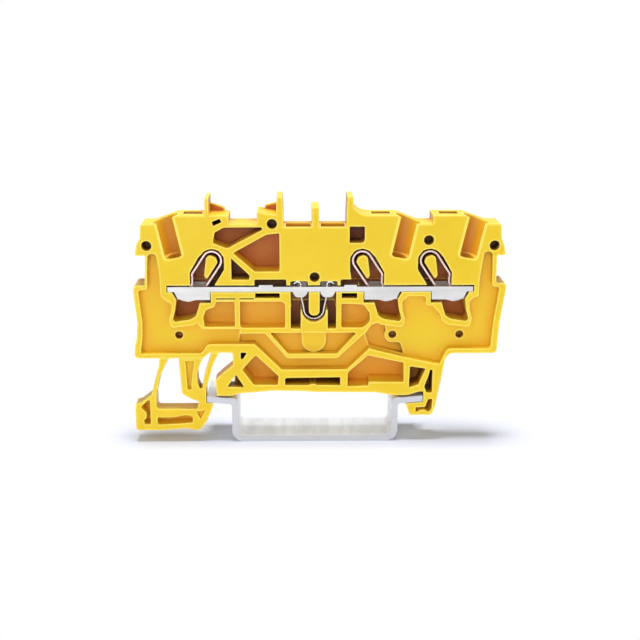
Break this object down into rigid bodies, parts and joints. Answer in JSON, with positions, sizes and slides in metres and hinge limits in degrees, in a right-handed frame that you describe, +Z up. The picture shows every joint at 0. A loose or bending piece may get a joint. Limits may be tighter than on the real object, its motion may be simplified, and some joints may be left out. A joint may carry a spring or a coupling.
{
  "type": "rail-mounted terminal block",
  "caption": "Through terminal block for a hat rail, with push-in spring clamps, an elastic release foot, jumper and marker slots, open on one side, on a short piece of rail.",
  "frame": {"origin": "on the underside of the rail, in the rail's centre plane and in the block's middle plane", "axes": "+X along the block towards the side with two clamps, +Y along the rail towards the block's closed side, +Z up, away from the rail"},
  "size_m": [0.0594, 0.008, 0.0404],
  "materials": {
    "housing_plastic": "moulded polyamide, yellow, satin",
    "foot_plastic": "moulded polyamide, yellow, satin",
    "tinned_copper": "tin-plated copper, near white",
    "clamp_steel": "bright spring steel with a faint warm tint",
    "jumper_steel": "bright spring steel",
    "rail_steel": "matt light grey galvanised steel"
  },
  "bodies": {
    "rail": {"din_rail": "rail_steel"},
    "housing": {"housing": "housing_plastic", "current_bar": "tinned_copper", "clamp_spring_left": "clamp_steel", "clamp_spring_middle": "clamp_steel", "clamp_spring_right": "clamp_steel", "jumper_spring": "jumper_steel", "foot_outer_arm": "foot_plastic", "foot_inner_arm": "foot_plastic"},
    "clamp_leg_left": {"clamp_leg_left": "clamp_steel"},
    "clamp_leg_middle": {"clamp_leg_middle": "clamp_steel"},
    "clamp_leg_right": {"clamp_leg_right": "clamp_steel"},
    "jumper_leg_left": {"jumper_leg_left": "jumper_steel"},
    "jumper_leg_right": {"jumper_leg_right": "jumper_steel"},
    "foot": {"release_foot": "foot_plastic", "foot_middle_leg": "foot_plastic"}
  },
  "joints": [
    {"name": "housing_slide", "type": "slide", "parent": "rail", "child": "housing", "axis": [0, 1, 0], "range_m": [0, 0.0028]},
    {"name": "clamp_left", "type": "hinge", "parent": "housing", "child": "clamp_leg_left", "pos_m": [-0.01625, 0, 0.0302], "axis": [0, -1, 0], "range_deg": [0, 17], "stiffness_Nm_per_rad": 0.3, "springref_deg": -8.59},
    {"name": "clamp_middle", "type": "hinge", "parent": "housing", "child": "clamp_leg_middle", "pos_m": [0.0074, 0, 0.0302], "axis": [0, 1, 0], "range_deg": [0, 17], "stiffness_Nm_per_rad": 0.3, "springref_deg": -8.59},
    {"name": "clamp_right", "type": "hinge", "parent": "housing", "child": "clamp_leg_right", "pos_m": [0.0181, 0, 0.0302], "axis": [0, 1, 0], "range_deg": [0, 17], "stiffness_Nm_per_rad": 0.3, "springref_deg": -8.59},
    {"name": "jumper_left", "type": "hinge", "parent": "housing", "child": "jumper_leg_left", "pos_m": [-0.00165, 0, 0.02147], "axis": [0, 1, 0], "range_deg": [0, 8], "stiffness_Nm_per_rad": 0.05, "springref_deg": -1.15},
    {"name": "jumper_right", "type": "hinge", "parent": "housing", "child": "jumper_leg_right", "pos_m": [0.00125, 0, 0.02147], "axis": [0, -1, 0], "range_deg": [0, 8], "stiffness_Nm_per_rad": 0.05, "springref_deg": -1.15},
    {"name": "foot_release", "type": "hinge", "parent": "housing", "child": "foot", "pos_m": [-0.0209, 0, 0.0143], "axis": [0, 1, 0], "range_deg": [0, 8], "stiffness_Nm_per_rad": 0.3, "springref_deg": -1.15, "deforming": ["foot_outer_arm", "foot_inner_arm"]}
  ]
}
